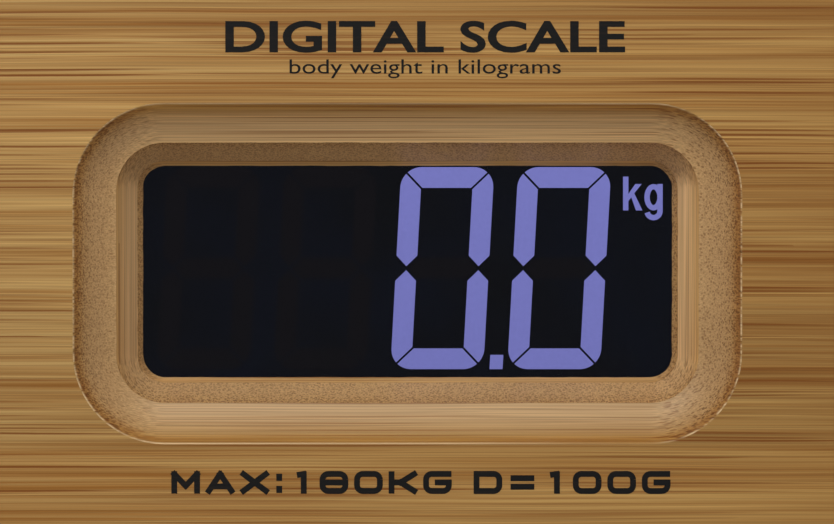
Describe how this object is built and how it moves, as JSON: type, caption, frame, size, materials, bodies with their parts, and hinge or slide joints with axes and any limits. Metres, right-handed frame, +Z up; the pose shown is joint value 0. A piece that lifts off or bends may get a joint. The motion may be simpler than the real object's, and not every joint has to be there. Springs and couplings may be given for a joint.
{
  "type": "digital bathroom scale",
  "caption": "Square bamboo platform scale with a black digital display in a milled recess, weighing feet, a battery tray and a unit button underneath.",
  "frame": {"origin": "on the floor, under the middle of the board", "axes": "+Z up, +Y from the user towards the display's end, +X to the right of someone reading the display"},
  "size_m": [0.3, 0.3, 0.0229],
  "materials": {
    "bamboo": "satin clear-lacquered crossed bamboo strips",
    "clear_lens": "clear acrylic, polished",
    "display_glass": "black liquid-crystal panel with lit pale violet segments",
    "clear_acrylic": "clear acrylic light guide",
    "white_plastic": "matte",
    "grey_rubber": "matte conductive silicone",
    "circuit_board": "green solder mask",
    "black_epoxy": "satin epoxy",
    "black_plastic": "fine spark-eroded texture",
    "grey_plastic": "satin",
    "battery_jacket": "printed film jacket",
    "nickel_steel": "nickel plated",
    "cell_steel": "zinc plated",
    "screw_steel": "zinc plated",
    "sole_rubber": "matte",
    "wire_sleeve": "red, black and white insulated wires"
  },
  "bodies": {
    "scale": {"top_ply": "bamboo", "core_ply": "bamboo", "bottom_ply": "bamboo", "display_lens": "clear_lens", "lcd_panel": "display_glass", "light_guide": "clear_acrylic", "backlight_led": "white_plastic", "backlight_frame": "white_plastic", "zebra_strip": "grey_rubber", "circuit_board": "circuit_board", "controller_chip": "black_epoxy", "electronics_tray": "black_plastic", "battery_1": "battery_jacket", "battery_2": "battery_jacket", "contact_link": "nickel_steel", "contact_minus": "nickel_steel", "contact_plus": "nickel_steel", "contact_spring_link": "nickel_steel", "contact_spring_minus": "nickel_steel", "unit_switch": "black_epoxy", "switch_board": "circuit_board", "tray_screw_1": "screw_steel", "tray_screw_2": "screw_steel", "tray_screw_3": "screw_steel", "tray_screw_4": "screw_steel", "foot_mount_far_left": "black_plastic", "load_cell_far_left": "cell_steel", "foot_screw_far_left_1": "screw_steel", "foot_screw_far_left_2": "screw_steel", "wires_far_left": "wire_sleeve", "wire_cover_far_left": "black_plastic", "foot_mount_far_right": "black_plastic", "load_cell_far_right": "cell_steel", "foot_screw_far_right_1": "screw_steel", "foot_screw_far_right_2": "screw_steel", "wires_far_right": "wire_sleeve", "wire_cover_far_right": "black_plastic", "foot_mount_near_left": "black_plastic", "load_cell_near_left": "cell_steel", "foot_screw_near_left_1": "screw_steel", "foot_screw_near_left_2": "screw_steel", "wires_near_left": "wire_sleeve", "wire_cover_near_left": "black_plastic", "foot_mount_near_right": "black_plastic", "load_cell_near_right": "cell_steel", "foot_screw_near_right_1": "screw_steel", "foot_screw_near_right_2": "screw_steel", "wires_near_right": "wire_sleeve", "wire_cover_near_right": "black_plastic"},
    "foot_far_left": {"foot_cup_far_left": "black_plastic", "foot_pad_far_left": "sole_rubber"},
    "foot_far_right": {"foot_cup_far_right": "black_plastic", "foot_pad_far_right": "sole_rubber"},
    "foot_near_left": {"foot_cup_near_left": "black_plastic", "foot_pad_near_left": "sole_rubber"},
    "foot_near_right": {"foot_cup_near_right": "black_plastic", "foot_pad_near_right": "sole_rubber"},
    "door": {"battery_door": "black_plastic"},
    "button": {"unit_button": "grey_plastic", "switch_plunger": "grey_plastic"}
  },
  "joints": [
    {"name": "foot_travel_far_left", "type": "slide", "parent": "scale", "child": "foot_far_left", "axis": [0, 0, 1], "range_m": [0, 0.0005], "stiffness_N_per_m": 6000, "springref_m": -0.001},
    {"name": "foot_travel_far_right", "type": "slide", "parent": "scale", "child": "foot_far_right", "axis": [0, 0, 1], "range_m": [0, 0.0005], "stiffness_N_per_m": 6000, "springref_m": -0.001},
    {"name": "foot_travel_near_left", "type": "slide", "parent": "scale", "child": "foot_near_left", "axis": [0, 0, 1], "range_m": [0, 0.0005], "stiffness_N_per_m": 6000, "springref_m": -0.001},
    {"name": "foot_travel_near_right", "type": "slide", "parent": "scale", "child": "foot_near_right", "axis": [0, 0, 1], "range_m": [0, 0.0005], "stiffness_N_per_m": 6000, "springref_m": -0.001},
    {"name": "door_swing", "type": "hinge", "parent": "scale", "child": "door", "pos_m": [-0.019, 0.028, 0.0026], "axis": [-1, 0, 0], "range_deg": [0, 95]},
    {"name": "button_press", "type": "slide", "parent": "scale", "child": "button", "axis": [0, 0, 1], "range_m": [0, 0.0005], "stiffness_N_per_m": 400}
  ]
}
